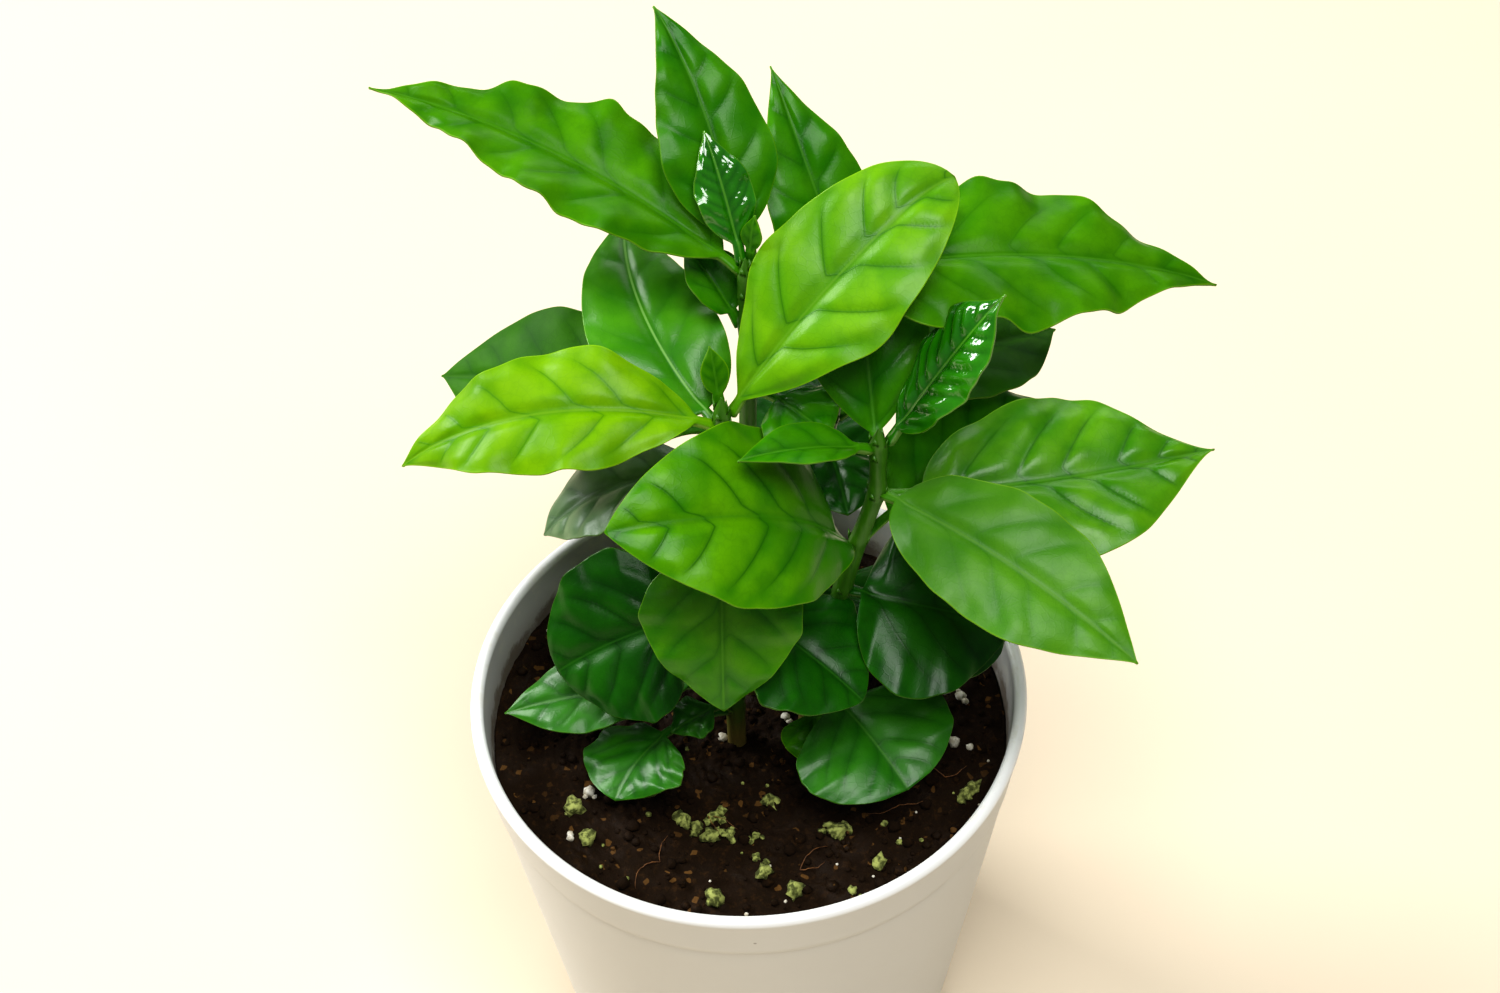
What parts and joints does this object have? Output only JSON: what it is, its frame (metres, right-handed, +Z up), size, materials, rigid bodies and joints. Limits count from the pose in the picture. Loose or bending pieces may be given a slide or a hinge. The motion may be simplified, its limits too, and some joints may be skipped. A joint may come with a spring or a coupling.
{
  "type": "potted coffee plant",
  "caption": "Young coffee plant with glossy, waved, pointed leaves on slender green stems, standing in dark soil in a round white tapered plastic pot.",
  "frame": {"origin": "centre of the flat underside of the pot", "axes": "+Z up along the pot's axis, the front of the plant looks towards -Y, +X to the right as seen from the front"},
  "size_m": [0.1466, 0.1211, 0.2169],
  "materials": {
    "pot_plastic": "satin",
    "soil_peat": "matte",
    "stem_green": "satin",
    "leaf_dark": "satin",
    "leaf_middle": "satin",
    "leaf_bright": "satin",
    "leaf_young": "gloss"
  },
  "bodies": {
    "root": {"pot": "pot_plastic", "soil": "soil_peat", "stem_left": "stem_green", "stem_right": "stem_green", "stem_tall": "stem_green", "stem_back": "stem_green", "leaf_shaded_middle": "leaf_dark", "leaf_front_low": "leaf_dark", "leaf_dark_left": "leaf_dark", "leaf_glossy_low": "leaf_dark", "leaf_low_left": "leaf_dark", "leaf_grey_left": "leaf_dark", "leaf_inner": "leaf_dark", "leaf_dark_right": "leaf_dark", "leaf_back_high": "leaf_dark", "leaf_back_mid": "leaf_dark", "leaf_back_low": "leaf_dark", "leaf_dark_centre": "leaf_dark", "leaf_low_right_small": "leaf_dark", "leaf_low_right": "leaf_dark", "leaf_low_back_right": "leaf_dark", "leaf_low_centre": "leaf_dark", "leaf_low_back": "leaf_dark", "leaf_top_left": "leaf_middle", "leaf_top_right": "leaf_middle", "leaf_top_back": "leaf_middle", "leaf_back_upright": "leaf_middle", "leaf_pale_rib": "leaf_middle", "leaf_back_right": "leaf_middle", "leaf_far_right": "leaf_middle", "leaf_small_back": "leaf_middle", "leaf_back_left": "leaf_middle", "leaf_bright_upper": "leaf_bright", "leaf_bright_left": "leaf_bright", "leaf_lower_right": "leaf_bright", "leaf_front": "leaf_bright", "leaf_upright_right": "leaf_bright", "leaf_right": "leaf_bright", "leaf_young_tall": "leaf_young", "leaf_bud_tall": "leaf_young", "leaf_bud_left": "leaf_young", "leaf_glossy_young": "leaf_young", "leaf_young_small": "leaf_young"}
  },
  "joints": []
}
